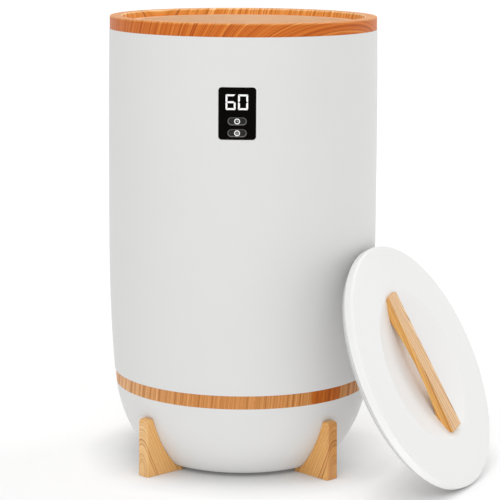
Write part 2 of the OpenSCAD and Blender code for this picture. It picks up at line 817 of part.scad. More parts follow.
// Flat cable from the display board down the front, in over the deck and down to the control board
module display_cable() {
    top_z = panel_z - panel_board_h / 2 + 4;
    run_z = deck_top_z + 1;
    end_z = board_z + board_t + display_socket[1][2];
    end_y = display_socket[0][1] + 3;
    rise = 20;
    color([0.75, 0.75, 0.75]) translate([-ribbon_w / 2, 0, 0]) {
        translate([0, ribbon_y, run_z]) cube([ribbon_w, ribbon_t, top_z - run_z]);
        translate([0, ribbon_y, run_z]) cube([ribbon_w, ribbon_in_y - ribbon_y + ribbon_t, ribbon_t]);
        translate([0, ribbon_in_y, end_z + rise])
            cube([ribbon_w, ribbon_t, run_z - end_z - rise + ribbon_t]);
        translate([0, ribbon_in_y, end_z + rise]) cube([ribbon_w, end_y - ribbon_in_y, ribbon_t]);
        translate([0, end_y - ribbon_t, end_z]) cube([ribbon_w, ribbon_t, rise + ribbon_t]);
    }
}

// Dark window that carries on the curve of the body
module panel_window() {
    color(dark) difference() {
        intersection() {
            wall_slice(0, shell_wall);
            at_panel(panel_front, panel_deep)
                rounded_rect(panel_w - 2 * bezel_gap, panel_h - 2 * bezel_gap, panel_corner - bezel_gap);
        }
        for (i = [0, 1]) at_panel(panel_front - 1, panel_deep + 1)
            translate([0, -button_down - i * button_pitch])
            capsule(button_w + 2 * button_gap, button_h + 2 * button_gap);
    }
}

// Frame behind the window: its front follows the inside of the shell, its back is flat
module panel_carrier() {
    outer_w = panel_w + 2 * carrier_rim;
    outer_h = panel_h + 2 * carrier_rim;
    color(dark) difference() {
        intersection() {
            at_panel(0, stack_board) rounded_rect(outer_w, outer_h, panel_corner + carrier_rim);
            wall_slice(shell_wall + 0.05, body_r / 2);
        }
        at_panel(-1, stack_board + 1)
            rounded_rect(panel_w - 2 * carrier_seat, panel_h - 2 * carrier_seat, panel_corner);
        for (x = [-1, 1], y = [-1, 1])
            translate([x * panel_screw_x, -(panel_r - stack_board - 1), panel_z + y * panel_screw_y])
                rotate([90, 0, 0]) cylinder(r = pilot_r, h = 6, $fn = 32);
    }
}

module display_board() {
    color(board_green) difference() {
        at_panel(stack_board, stack_board + board_t) square([panel_board_w, panel_board_h], center = true);
        for (x = [-1, 1], y = [-1, 1])
            translate([x * panel_screw_x, -(panel_r - stack_board - 3), panel_z + y * panel_screw_y])
                rotate([90, 0, 0]) cylinder(r = shank_r, h = 6, $fn = 32);
    }
}

module display_screws() {
    color(metal) for (x = [-1, 1], y = [-1, 1])
        translate([x * panel_screw_x, -(panel_r - stack_board - board_t), panel_z + y * panel_screw_y])
            rotate([-90, 0, 0]) screw(6);
}

// The seven bars of one digit, as in a number display
module digit_bars() {
    bar = 1.9;
    gap = 0.25;
    arm_h = digit_h - bar;
    arm_w = digit_w - bar;
    module one_bar(l) {
        half = l / 2 - gap;
        polygon([[-half, 0], [-half + bar / 2, bar / 2], [half - bar / 2, bar / 2], [half, 0],
                 [half - bar / 2, -bar / 2], [-half + bar / 2, -bar / 2]]);
    }
    for (y = [-1, 0, 1]) translate([0, y * arm_h / 2]) one_bar(arm_w);
    for (x = [-1, 1], y = [-1, 1]) translate([x * arm_w / 2, y * arm_h / 4]) rotate(90) one_bar(arm_h / 2);
}

module display_module() {
    lens_t = 0.4;
    color(dark) translate([0, 0, digit_up]) at_panel(stack_display, stack_board)
        square([display_w, display_h], center = true);
    color(white) translate([0, 0, digit_up]) at_panel(stack_display - lens_t, stack_display + eps)
        for (x = [-1, 1]) translate([x * digit_pitch / 2, 0]) digit_bars();
}

module button_switches() {
    for (i = [0, 1]) translate([0, 0, -button_down - i * button_pitch]) {
        color(metal) at_panel(stack_board - switch_t, stack_board) square(switch_w, center = true);
        color(dark) at_panel(stack_board - switch_t - plunger_t, stack_board - switch_t + eps)
            circle(r = plunger_r, $fn = 32);
    }
}

// Capsule button with a lip that holds it behind the window and a stem for its switch
module button(drop) {
    color(dark) {
        intersection() {
            wall_slice(-button_proud, lip_depth_b);
            at_panel(panel_front, panel_deep) translate([0, -drop]) capsule(button_w, button_h);
        }
        intersection() {
            wall_slice(lip_depth_a, lip_depth_b);
            at_panel(panel_front, panel_deep) translate([0, -drop])
                capsule(button_w + 2 * button_lip, button_h + 2 * button_lip);
        }
        at_panel(lip_depth_b - 0.5, stem_end) translate([0, -drop]) circle(r = stem_r, $fn = 32);
    }
}

module timer_button() { button(button_down); }
module power_button() { button(button_down + button_pitch); }

// Stands the lid on its edge on the floor and leans it on the body
module leaned() {
    translate([lean_out * sin(lean_turn), -lean_out * cos(lean_turn), lean_up])
        rotate([90 - lean, 0, lean_turn]) children();
}

module lid_shell() {
    color(white) leaned() difference() {
        union() {
            rotate_extrude() difference() {
                union() {
                    // Skin over the rim and down its edge
                    difference() {
                        union() {
                            translate([0, lid_low_round])
                                square([lid_r, lid_t - lid_round - lid_low_round]);
                            square([lid_r - lid_low_round, lid_t - lid_round]);
                            square([lid_r - lid_round, lid_t]);
                            translate([lid_r - lid_round, lid_t - lid_round])
                                circle(r = lid_round, $fn = 48);
                            translate([lid_r - lid_low_round, lid_low_round])
                                circle(r = lid_low_round, $fn = 48);
                        }
                        translate([0, -1]) square([lid_r - lid_skin, lid_t - lid_skin + 1]);
                    }
                    // Skin under the dish
                    intersection() {
                        translate([0, dish_c]) circle(r = dish_curve_r + lid_skin, $fn = curve_fn);
                        translate([0, lid_t - dish_depth - lid_skin - 1])
                            square([dish_r + 10, dish_depth + lid_skin + 1]);
                    }
                }
                translate([0, dish_c]) circle(r = dish_curve_r, $fn = curve_fn);
                // Rounded edge of the dish
                difference() {
                    translate([dish_edge_x * dish_share, lid_t - 1])
                        square([dish_edge_x * (1 - dish_share), 2]);
                    translate([dish_edge_x, lid_t - dish_round]) circle(r = dish_round);
                }
            }
            around(6, lid_screw_r) translate([0, 0, -plug_h + liner_wall])
                cylinder(r = lid_boss_r, h = lid_t + plug_h - liner_wall - 1, $fn = 48);
        }
        around(6, lid_screw_r) translate([0, 0, -plug_h]) cylinder(r = pilot_r, h = plug_h + 5, $fn = 32);
        rotate([0, 0, handle_turn]) for (y = [-1, 1]) translate([0, y * handle_screw_y, -12])
            cylinder(r = shank_r, h = 24, $fn = 32);
    }
}

// Underside of the lid: closes the rim, forms the plug and houses the dish
module lid_liner() {
    color(white) leaned() difference() {
        rotate_extrude() difference() {
            union() {
                square([lid_r - lid_skin - fit, liner_wall]);
                translate([0, -plug_h]) square([plug_r, plug_h + 1]);
                translate([0, -well_h]) square([well_r, well_h]);
            }
            translate([0, -plug_h + liner_wall]) square([plug_r - liner_wall - 1, plug_h + 5]);
            translate([0, -well_h + liner_wall]) square([well_r - liner_wall, well_h + 5]);
            translate([plug_r + 0.5, seal_z]) circle(r = seal_r + 0.1, $fn = 32);
        }
        around(6, lid_screw_r) translate([0, 0, -plug_h - 1])
            cylinder(r = shank_r, h = plug_h + 2, $fn = 32);
    }
}

module lid_insulation() {
    color(felt) leaned() rotate_extrude() difference() {
        translate([0, -well_h + liner_wall])
            square([well_r - liner_wall - fit, well_h + lid_t - liner_wall - lid_skin - fit - 3]);
        translate([0, dish_c]) circle(r = dish_curve_r + lid_skin + head_h + 1.6, $fn = curve_fn);
        square([handle_screw_y + 6, lid_t]);
    }
}

module lid_seal() {
    color([0.8, 0.8, 0.8]) leaned() rotate_extrude() translate([plug_r + 0.5, seal_z])
        circle(r = seal_r, $fn = 32);
}

// Handle bar: flat top, arched underside, ends that rest on the slope of the dish
module lid_handle() {
    top_z = lid_t + handle_proud;
    edge = 1.2;
    color(wood) leaned() rotate([0, 0, handle_turn]) difference() {
        intersection() {
            rotate([90, 0, 90]) translate([0, 0, -handle_w / 2]) linear_extrude(handle_w)
                difference() {
                    polygon([[-handle_l / 2, lid_t - dish_depth], [handle_l / 2, lid_t - dish_depth],
                             [handle_l / 2, top_z - edge], [handle_l / 2 - edge, top_z],
                             [-handle_l / 2 + edge, top_z], [-handle_l / 2, top_z - edge]]);
                    translate([0, arch_z]) circle(r = arch_r, $fn = curve_fn);
                }
            rotate_extrude() intersection() {
                translate([0, dish_c]) circle(r = dish_curve_r - 0.1, $fn = curve_fn);
                translate([0, lid_t - dish_depth - 5]) square([dish_r + 20, dish_depth + 30]);
            }
            translate([0, handle_l / 2, 0]) rotate([90, 0, 0]) linear_extrude(handle_l)
                polygon([[-handle_w / 2, -well_h], [handle_w / 2, -well_h], [handle_w / 2, top_z - edge],
                         [handle_w / 2 - edge, top_z], [-handle_w / 2 + edge, top_z],
                         [-handle_w / 2, top_z - edge]]);
        }
        for (y = [-1, 1]) translate([0, y * handle_screw_y, -well_h])
            cylinder(r = pilot_r, h = well_h + lid_t, $fn = 32);
    }
}

module handle_screws() {
    under = dish_c - sqrt(pow(dish_curve_r + lid_skin, 2) - pow(handle_screw_y - head_r, 2));
    color(metal) leaned() rotate([0, 0, handle_turn]) for (y = [-1, 1])
        translate([0, y * handle_screw_y, under - 0.05]) rotate([180, 0, 0]) screw(9);
}

module lid_screws() {
    color(metal) leaned() around(6, lid_screw_r) translate([0, 0, -plug_h]) rotate([180, 0, 0]) screw(9);
}

outer_shell();
rim_ring();
chamber_liner();
side_heater();
bottom_heater();
insulation_sleeve();
insulation_disc();
thermostat();
thermal_fuse();
temperature_sensor();
inner_deck();
deck_screws();
base_band();
base_bowl();
bottom_cover();
cover_screws();
foot_front_left();
foot_front_right();
foot_rear_right();
foot_rear_left();
foot_screws();
control_board();
board_parts();
board_screws();
cord_gland();
gland_nut();
heater_leads();
supply_leads();
display_cable();
panel_window();
panel_carrier();
display_board();
display_module();
button_switches();
display_screws();
timer_button();
power_button();
lid_shell();
lid_liner();
lid_insulation();
lid_seal();
lid_handle();
handle_screws();
lid_screws();
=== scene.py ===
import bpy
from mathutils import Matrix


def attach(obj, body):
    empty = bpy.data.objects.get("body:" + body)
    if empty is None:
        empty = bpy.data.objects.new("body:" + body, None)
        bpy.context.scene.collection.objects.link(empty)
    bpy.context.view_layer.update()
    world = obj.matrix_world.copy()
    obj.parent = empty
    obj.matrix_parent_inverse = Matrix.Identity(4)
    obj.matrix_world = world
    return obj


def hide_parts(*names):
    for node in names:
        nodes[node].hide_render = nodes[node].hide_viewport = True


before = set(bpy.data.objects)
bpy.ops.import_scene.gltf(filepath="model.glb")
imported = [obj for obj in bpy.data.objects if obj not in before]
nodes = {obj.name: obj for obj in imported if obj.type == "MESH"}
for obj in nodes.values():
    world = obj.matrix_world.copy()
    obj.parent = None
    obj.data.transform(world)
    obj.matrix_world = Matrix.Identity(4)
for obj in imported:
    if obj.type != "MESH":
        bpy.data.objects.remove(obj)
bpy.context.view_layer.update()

import math

import bmesh
import bpy
import numpy as np
from mathutils import Euler, Matrix, Vector
from mathutils.geometry import delaunay_2d_cdt

scene = bpy.context.scene
scene.view_settings.view_transform = "Standard"


# Camera: a long lens a little above the mouth's rim, turned and tipped down towards the middle
# of the body, so that the ring shows as a narrow oval.
eye_place = Vector((0.08837, -2.16184, 0.62570))
eye_yaw, eye_pitch, eye_roll = math.radians(2.1133), math.radians(10.3130), math.radians(0.3068)
lens_in_pixels, frame_pixels, sensor_mm = 1945.0, 500, 36


def stand_camera():
    """Camera axes from yaw, pitch and roll: ahead is +Y turned by yaw and tipped down by pitch,
    right is level, up is square to both, and roll turns right and up about ahead."""
    ahead = Vector((-math.sin(eye_yaw) * math.cos(eye_pitch),
                    math.cos(eye_yaw) * math.cos(eye_pitch), -math.sin(eye_pitch)))
    level = Vector((math.cos(eye_yaw), math.sin(eye_yaw), 0))
    plumb = level.cross(ahead)
    right = level * math.cos(eye_roll) + plumb * math.sin(eye_roll)
    up = plumb * math.cos(eye_roll) - level * math.sin(eye_roll)
    data = bpy.data.cameras.new("eye")
    data.lens = lens_in_pixels / frame_pixels * sensor_mm
    data.sensor_width = sensor_mm
    data.clip_start = 0.05
    eye = bpy.data.objects.new("eye", data)
    place = Matrix((right, up, -ahead)).transposed().to_4x4()
    place.translation = eye_place
    eye.matrix_world = place
    scene.collection.objects.link(eye)
    scene.camera = eye


stand_camera()


# Floor: one pale sheet under everything. To the camera it is close to white where it is lit,
# and it keeps the soft shadows of the bucket and the lid.
floor_z, floor_half = -0.004, 16.0
contact_reach = 0.068
seen_glow, seen_white = 0.47, 0.64
bounce_glow, bounce_white = 0.60, 0.62


def new_finish(name):
    """Empty node material. Gives the material and a function that adds one node: its links are
    sockets or constants by input name, and its settings are given by keyword."""
    material = bpy.data.materials.new(name)
    material.use_nodes = True
    tree = material.node_tree
    tree.nodes.clear()

    def add(kind, links=None, **settings):
        node = tree.nodes.new("ShaderNode" + kind)
        for key, value in settings.items():
            setattr(node, key, value)
        for socket, source in (links or {}).items():
            if isinstance(source, bpy.types.NodeSocket):
                tree.links.new(source, node.inputs[socket])
            else:
                node.inputs[socket].default_value = source
        return node

    return material, add


def lay_floor():
    """Square sheet of four corners. Its finish adds its own light to a diffuse white, in one
    mixture for what is seen directly or mirrored, and in another for the light it gives back."""
    half = floor_half
    mesh = bpy.data.meshes.new("floor")
    mesh.from_pydata([(-half, -half, floor_z), (half, -half, floor_z),
                      (half, half, floor_z), (-half, half, floor_z)], [], [(0, 1, 2, 3)])
    floor = bpy.data.objects.new("floor", mesh)
    scene.collection.objects.link(floor)
    material, add = new_finish("floor_white")
    tree = material.node_tree
    mixtures = []
    # how open the floor is to the room, so that its own light fades under the bucket
    open_share = add("AmbientOcclusion", {"Distance": contact_reach}, samples=8).outputs["AO"]
    # far from the lamps the floor's own light makes up for what they don't reach
    away = add("VectorMath", {0: add("TexCoord").outputs["Object"]}, operation="LENGTH")
    makeup = add("MapRange", {"Value": away.outputs["Value"], "From Min": 0.35, "From Max": 1.7,
                              "To Max": 0.29})
    shown = add("Math", {0: makeup.outputs[0], 1: seen_glow}, operation="ADD").outputs[0]
    for glow, white in ((bounce_glow, bounce_white), (shown, seen_white)):
        faded = add("Math", {0: open_share, 1: glow}, operation="MULTIPLY")
        own_light = add("Emission", {"Color": (1, 1, 1, 1), "Strength": faded.outputs[0]})
        paint = add("BsdfDiffuse", {"Color": (white, white, white, 1)})
        both = add("AddShader")
        tree.links.new(own_light.outputs[0], both.inputs[0])
        tree.links.new(paint.outputs[0], both.inputs[1])
        mixtures.append(both)
    path = add("LightPath")
    direct = add("Math", {0: path.outputs["Is Camera Ray"], 1: path.outputs["Is Glossy Ray"]},
                 operation="MAXIMUM")
    direct = add("Math", {0: direct.outputs[0], 1: path.outputs["Is Transmission Ray"]},
                 operation="MAXIMUM")
    seen = add("MixShader", {"Fac": direct.outputs[0]})
    tree.links.new(mixtures[0].outputs[0], seen.inputs[1])
    tree.links.new(mixtures[1].outputs[0], seen.inputs[2])
    add("OutputMaterial", {"Surface": seen.outputs[0]})
    mesh.materials.append(material)


lay_floor()


# Light: an even pale room that looks white, and four broad soft lamps: two above the front, the
# left one stronger, one behind the right and one overhead.
room_strength = 0.45


def light_room():
    """White world at the room's strength, and at full white where it is seen directly, mirrored
    or through something clear."""
    world = bpy.data.worlds.new("room")
    scene.world = world
    world.use_nodes = True
    tree = world.node_tree
    tree.nodes.clear()
    path = tree.nodes.new("ShaderNodeLightPath")
    seen = path.outputs["Is Camera Ray"]
    for ray in ("Is Glossy Ray", "Is Transmission Ray"):
        either = tree.nodes.new("ShaderNodeMath")
        either.operation = "MAXIMUM"
        tree.links.new(seen, either.inputs[0])
        tree.links.new(path.outputs[ray], either.inputs[1])
        seen = either.outputs[0]
    strength = tree.nodes.new("ShaderNodeMapRange")
    strength.inputs["To Min"].default_value = room_strength
    strength.inputs["To Max"].default_value = 1.0
    tree.links.new(seen, strength.inputs["Value"])
    sky = tree.nodes.new("ShaderNodeBackground")
    sky.inputs["Color"].default_value = (1, 1, 1, 1)
    tree.links.new(strength.outputs[0], sky.inputs["Strength"])
    out = tree.nodes.new("ShaderNodeOutputWorld")
    tree.links.new(sky.outputs[0], out.inputs["Surface"])


light_room()


def hang_lamp(name, place, aim, power, size):
    """Square soft lamp at a place, facing the point that it lights."""
    data = bpy.data.lights.new(name, "AREA")
    data.energy = power
    data.size = size
    lamp = bpy.data.objects.new(name, data)
    lamp.location = place
    lamp.rotation_euler = (Vector(aim) - Vector(place)).to_track_quat("-Z", "Y").to_euler()
    scene.collection.objects.link(lamp)


hang_lamp("left_lamp", (-0.5, -2.6, 1.9), (0, 0, 0.25), power=17, size=1.2)
hang_lamp("right_lamp", (1.2, -2.4, 1.9), (0, 0, 0.25), power=6, size=1.2)
hang_lamp("side_lamp", (1.65, 1.15, 2.1), (0.1, 0, 0.25), power=17, size=1.2)
hang_lamp("top_lamp", (-0.3, -0.45, 2.75), (0.05, 0, 0), power=13, size=0.9)


# Outer shell and the other white mouldings: a dense satin plastic with a faint even texture
# from the mould, and tone and gloss that drift by a few parts in a hundred.
def blended(add, factor, first, second, mode="MIX"):
    """Colour socket of two colours mixed by a factor, in one of the mixing modes."""
    node = add("Mix", data_type="RGBA", blend_type=mode)
    tree = node.id_data
    for index, source in ((0, factor), (6, first), (7, second)):
        if isinstance(source, bpy.types.NodeSocket):
            tree.links.new(source, node.inputs[index])
        else:
            node.inputs[index].default_value = source
    return node.outputs[2]


def tone(colour):
    """Colour with its alpha."""
    return (colour[0], colour[1], colour[2], 1)


def moulded(name, colour, shade, roughness, texture=2600.0, depth=0.00002, specular=0.5):
    """Moulded plastic: two close colours mixed by a slow noise, roughness from the same noise,
    and a fine noise that raises the surface by the texture's depth."""
    material, add = new_finish(name)
    place = add("TexCoord").outputs["Object"]
    slow = add("TexNoise", {"Vector": place, "Scale": 14.0, "Detail": 3.0})
    fine = add("TexNoise", {"Vector": place, "Scale": texture, "Detail": 2.0})
    rough = add("MapRange", {"Value": slow.outputs["Fac"], "To Min": roughness - 0.05,
                             "To Max": roughness + 0.05})
    raised = add("Bump", {"Height": fine.outputs["Fac"], "Strength": 0.35, "Distance": depth})
    skin = add("BsdfPrincipled", {
        "Base Color": blended(add, slow.outputs["Fac"], tone(shade), tone(colour)),
        "Roughness": rough.outputs[0], "Normal": raised.outputs[0],
        "Specular IOR Level": specular})
    add("OutputMaterial", {"Surface": skin.outputs[0]})
    return material


def coat(material, *names):
    """Gives CAD nodes a finish in every material slot they have."""
    for name in names:
        mesh = nodes[name].data
        if mesh.materials:
            for index in range(len(mesh.materials)):
                mesh.materials[index] = material
        else:
            mesh.materials.append(material)


coat(moulded("shell_white", (0.765, 0.765, 0.759), (0.747, 0.747, 0.741), 0.45, specular=0.22),
     "outer_shell", "base_bowl", "bottom_cover")
# the lid's white is set paler than the body's as painted light, standing for the stronger light on
# its face
coat(moulded("lid_white", (0.92, 0.92, 0.915), (0.905, 0.905, 0.898), 0.45), "lid_shell")
coat(moulded("lid_grey", (0.62, 0.62, 0.615), (0.58, 0.58, 0.575), 0.5), "lid_liner")


# Rim ring: turned from one warm orange-brown timber. The grain is cut slantwise, so its lines
# stand upright at the left, lean over in front and arch at the right end.
line_tint = (0.54, 0.36, 0.20)


def tinted(add, share, colour, tint):
    """Colour multiplied by a tint, by a share of it."""
    return blended(add, share, colour, blended(add, 1.0, colour, tone(tint), "MULTIPLY"))


def timber(name, tones, stops, centre, turn, spacing, planes=False, wander=0.006, gloss=0.42,
           knot=None, fibre=0.10, lines=0.6, paler=None, specular=0.22):
    """Solid timber. Places are read in a frame that stands at the centre and is turned, with Z
    along the fibres. A ring's number is the distance from that Z axis, or from its YZ plane for
    sheets so far from the heart that they look flat, moved by a slow noise that is stretched
    along the fibres, and divided by the spacing. A one-dimensional noise of that number is the
    grain's tone, the peaks of a quicker one are thin dark lines, and a fine noise drawn out
    along Z makes the fibres. The paler function gives tints and their shares by place, and a
    knot is a dark patch with an uneven edge round a spot."""
    material, add = new_finish(name)
    place = add("TexCoord").outputs["Object"]
    local = add("Mapping", {"Vector": place, "Location": centre, "Rotation": turn},
                vector_type="TEXTURE").outputs[0]
    along = add("VectorMath", {0: local, 1: (1, 1, 0.35)}, operation="MULTIPLY").outputs[0]
    drift = add("TexNoise", {"Vector": along, "Scale": 16.0, "Detail": 2.0})
    across = add("VectorMath", {0: local, 1: (1, 0 if planes else 1, 0)}, operation="MULTIPLY")
    if planes:
        reach = add("SeparateXYZ", {0: across.outputs[0]}).outputs[0]
    else:
        reach = add("VectorMath", {0: across.outputs[0]}, operation="LENGTH").outputs["Value"]
    moved = add("Math", {0: drift.outputs["Fac"], 1: wander, 2: reach}, operation="MULTIPLY_ADD")
    number = add("Math", {0: moved.outputs[0], 1: 1 / spacing}, operation="MULTIPLY")
    rings = add("TexNoise", {"W": number.outputs[0], "Scale": 1.0, "Detail": 5.0,
                             "Roughness": 0.62}, noise_dimensions="1D")
    ramp = add("ValToRGB", {"Fac": rings.outputs["Fac"]})
    marks = ramp.color_ramp.elements
    marks[0].position, marks[1].position = stops[0], stops[-1]
    for stop in stops[1:-1]:
        marks.new(stop)
    for mark, colour in zip(marks, tones):
        mark.color = tone(colour)
    drawn = add("VectorMath", {0: local, 1: (1, 1, 0.05)}, operation="MULTIPLY").outputs[0]
    fibres = add("TexNoise", {"Vector": drawn, "Scale": 1500.0, "Detail": 3.0})
    shade = add("MapRange", {"Value": fibres.outputs["Fac"], "From Min": 0.3, "From Max": 0.7,
                             "To Min": 1 - fibre, "To Max": 1 + fibre / 2})
    colour = blended(add, 1.0, ramp.outputs["Color"], shade.outputs[0], "MULTIPLY")
    quick = add("TexNoise", {"W": number.outputs[0], "Scale": 2.7, "Detail": 4.0,
                             "Roughness": 0.75}, noise_dimensions="1D")
    peak = add("MapRange", {"Value": quick.outputs["Fac"], "From Min": 0.53, "From Max": 0.66,
                            "To Max": lines})
    colour = tinted(add, peak.outputs[0], colour, line_tint)
    for share, tint in paler(add, place) if paler else []:
        colour = tinted(add, share, colour, tint)
    if knot:
        spot, radius, dark = knot
        gap = add("VectorMath", {0: place, 1: spot}, operation="DISTANCE").outputs["Value"]
        uneven = add("Math", {0: drift.outputs["Fac"], 1: 0.016, 2: gap}, operation="MULTIPLY_ADD")
        near = add("MapRange", {"Value": uneven.outputs[0], "From Min": radius + 0.010,
                                "From Max": radius + 0.006}, interpolation_type="SMOOTHSTEP")
        colour = tinted(add, near.outputs[0], colour, dark)
    raised = add("Bump", {"Height": fibres.outputs["Fac"], "Strength": 0.25, "Distance": 0.00006})
    rough = add("MapRange", {"Value": rings.outputs["Fac"], "To Min": gloss + 0.08,
                             "To Max": gloss - 0.04})
    skin = add("BsdfPrincipled", {"Base Color": colour, "Roughness": rough.outputs[0],
                                  "Normal": raised.outputs[0], "Specular IOR Level": specular})
    add("OutputMaterial", {"Surface": skin.outputs[0]})
    return material


ring_stops = (0.34, 0.46, 0.56, 0.70)
mouth_r, ring_top = 0.1343, 0.496
# painted light: the mouth's tint brightens the inner wall, and the top's tint is a painted
# highlight on the flat top
mouth_light_tint, top_light_tint = (1.42, 2.35, 5.0), (1.28, 2.0, 4.2)


def mouth_painted_light(add, place):
    """Painted light: paler inside the mouth's wall, standing for the stronger light on the far
    inner wall, and a painted highlight on the flat top: by the distance from the ring's axis and
    by height, each with a soft step."""
    flat = add("VectorMath", {0: place, 1: (1, 1, 0)}, operation="MULTIPLY").outputs[0]
    reach = add("VectorMath", {0: flat}, operation="LENGTH").outputs["Value"]
    inner = add("MapRange", {"Value": reach, "From Min": mouth_r + 0.0015,
                             "From Max": mouth_r + 0.0003})
    height = add("SeparateXYZ", {0: place}).outputs["Z"]
    top = add("MapRange", {"Value": height, "From Min": ring_top - 0.0022,
                           "From Max": ring_top - 0.0004})
    return [(inner.outputs[0], mouth_light_tint), (top.outputs[0], top_light_tint)]


# the timber's heart lies level at the right front, outside the ring and below it
heart_turn, heart_reach, heart_z = math.radians(50), 0.180, 0.434
ring_heart = (heart_reach * math.sin(heart_turn), -heart_reach * math.cos(heart_turn), heart_z)
coat(timber("ring_wood", ((0.53, 0.110, 0.007), (0.61, 0.142, 0.012), (0.68, 0.182, 0.022),
                          (0.76, 0.25, 0.040)),
            ring_stops, ring_heart, (math.pi / 2, 0.0, math.radians(-40)), 0.0042,
            wander=0.008, lines=1.0, paler=mouth_painted_light), "rim_ring")


# Base band: a narrow hoop of the same timber in a browner cut, clamped between the shell and
# the base. Its lines stand nearly upright, and a darker patch sits at the right front.
side_tint = (1.16, 1.42, 2.1)
band_knot = ((0.0970, -0.1060, 0.0915), 0.0220, (0.82, 0.46, 0.09))


def side_pale(add, place):
    """Paler and pinker round the left side: by X."""
    side = add("SeparateXYZ", {0: place}).outputs["X"]
    share = add("MapRange", {"Value": side, "From Min": -0.05, "From Max": -0.13})
    return [(share.outputs[0], side_tint)]


coat(timber("band_wood", ((0.48, 0.165, 0.036), (0.62, 0.25, 0.066), (0.70, 0.31, 0.092),
                          (0.76, 0.37, 0.125)),
            ring_stops, (0.0, 0.0, 0.1), (0.0, math.radians(5), math.radians(6)), 0.0034,
            planes=True, wander=0.003, knot=band_knot, paler=side_pale), "base_band")


# Bowl-shaped base's outside, which the feet are shaped to: its side curve and its heel curve
# touch smoothly, and the heel runs out into the flat underside.
side_r, side_x, base_top, heel_r = 0.142, 0.0016, 0.099, 0.018
seat_gap = 0.0001
heel_x = side_x + math.sqrt((side_r - heel_r) ** 2 - (base_top - heel_r) ** 2)
meet_turn = math.atan2(heel_r - base_top, heel_x - side_x)


def arc(centre_x, centre_z, radius, start, stop, count):
    """Points on a circle about (x, z), evenly from the start angle to the stop angle."""
    turn = np.linspace(start, stop, count)
    return np.stack([centre_x + radius * np.cos(turn), centre_z + radius * np.sin(turn)], 1)


def base_side(top):
    """Radius and height along the base's outside from the flat underside up to a height,
    the seat's gap clear of it: the heel's circle, then the side's."""
    stop = math.asin((top - base_top) / (side_r + seat_gap))
    heel = arc(heel_x, heel_r, heel_r + seat_gap, -math.pi / 2, meet_turn, 14)
    side = arc(side_x, base_top, side_r + seat_gap, meet_turn, stop, 34)
    return np.concatenate([heel, side[1:]])


# Feet: four slabs of light honey timber, sawn to the base's curve on the inside, square and
# upright on the outside, with every edge rounded over. Two screws from inside hold each one.
foot_out, foot_in, foot_top = 0.1475, 0.0955, 0.061
foot_width, foot_top_width, foot_round = 0.016, 0.0145, 0.0045
seated_share = 0.34
plain_flank, plain_outer = (1.08, 1.12, 1.25), (0.93, 0.84, 0.80)
# the front-left foot's tints: painted light on its flanks and a painted highlight on its outer
# face
painted_light_flank, painted_highlight_outer = (1.10, 1.20, 1.50), (1.12, 1.32, 1.95)


def slab(outline, across, place):
    """Points and faces of a slab: its closed side outline is carried across it, point (i, j)
    being the outline's point j at the across value i as the place function puts it. One face
    closes each end."""
    count, layers = len(outline), len(across)
    points = np.concatenate([place(outline, share) for share in across])
    i, j = np.meshgrid(np.arange(layers - 1), np.arange(count), indexing="ij")
    after = (j + 1) % count
    quads = np.stack([i * count + j, i * count + after, (i + 1) * count + after,
                      (i + 1) * count + j], -1).reshape(-1, 4)
    ends = [list(range(count))[::-1], list(range((layers - 1) * count, layers * count))]
    return points, quads.tolist() + ends


def piece(name, points, faces, body, slot, finish, stands_for=(), crease=35):
    """One mesh from points and faces: points that coincide become one, faces are turned
    outwards, and an edge stays sharp where its faces meet at more than the crease angle."""
    mesh = bpy.data.meshes.new(name)
    mesh.from_pydata(np.asarray(points).tolist(), [], faces)
    work = bmesh.new()
    work.from_mesh(mesh)
    bmesh.ops.remove_doubles(work, verts=work.verts, dist=1e-6)
    bmesh.ops.recalc_face_normals(work, faces=work.faces)
    work.to_mesh(mesh)
    work.free()
    mesh.polygons.foreach_set("use_smooth", np.ones(len(mesh.polygons), bool))
    mesh.set_sharp_from_angle(angle=math.radians(crease))
    mesh.materials.append(finish)
    shape = bpy.data.objects.new(name, mesh)
    scene.collection.objects.link(shape)
    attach(shape, body)
    if stands_for:
        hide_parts(*stands_for)
    return shape


def round_edges(shape, width, steps, touching):
    """Rounds the sharp edges over by a width, and by the seated share of it where both ends of
    an edge pass the touching test, which is given the array of points."""
    mesh = shape.data
    points = np.empty(len(mesh.vertices) * 3)
    mesh.vertices.foreach_get("co", points)
    ends = np.empty(len(mesh.edges) * 2, int)
    mesh.edges.foreach_get("vertices", ends)
    sharp = np.empty(len(mesh.edges), bool)
    mesh.attributes["sharp_edge"].data.foreach_get("value", sharp)
    held = touching(points.reshape(-1, 3))[ends.reshape(-1, 2)].all(1)
    weight = mesh.attributes.new("bevel_weight_edge", "FLOAT", "EDGE")
    weight.data.foreach_set("value", np.where(sharp, np.where(held, seated_share, 1.0), 0.0))
    mesh.attributes["sharp_edge"].data.foreach_set("value", np.zeros(len(sharp), bool))
    rounding = shape.modifiers.new("rounded", "BEVEL")
    rounding.limit_method = "WEIGHT"
    rounding.width = width
    rounding.segments = steps
    rounding.harden_normals = True


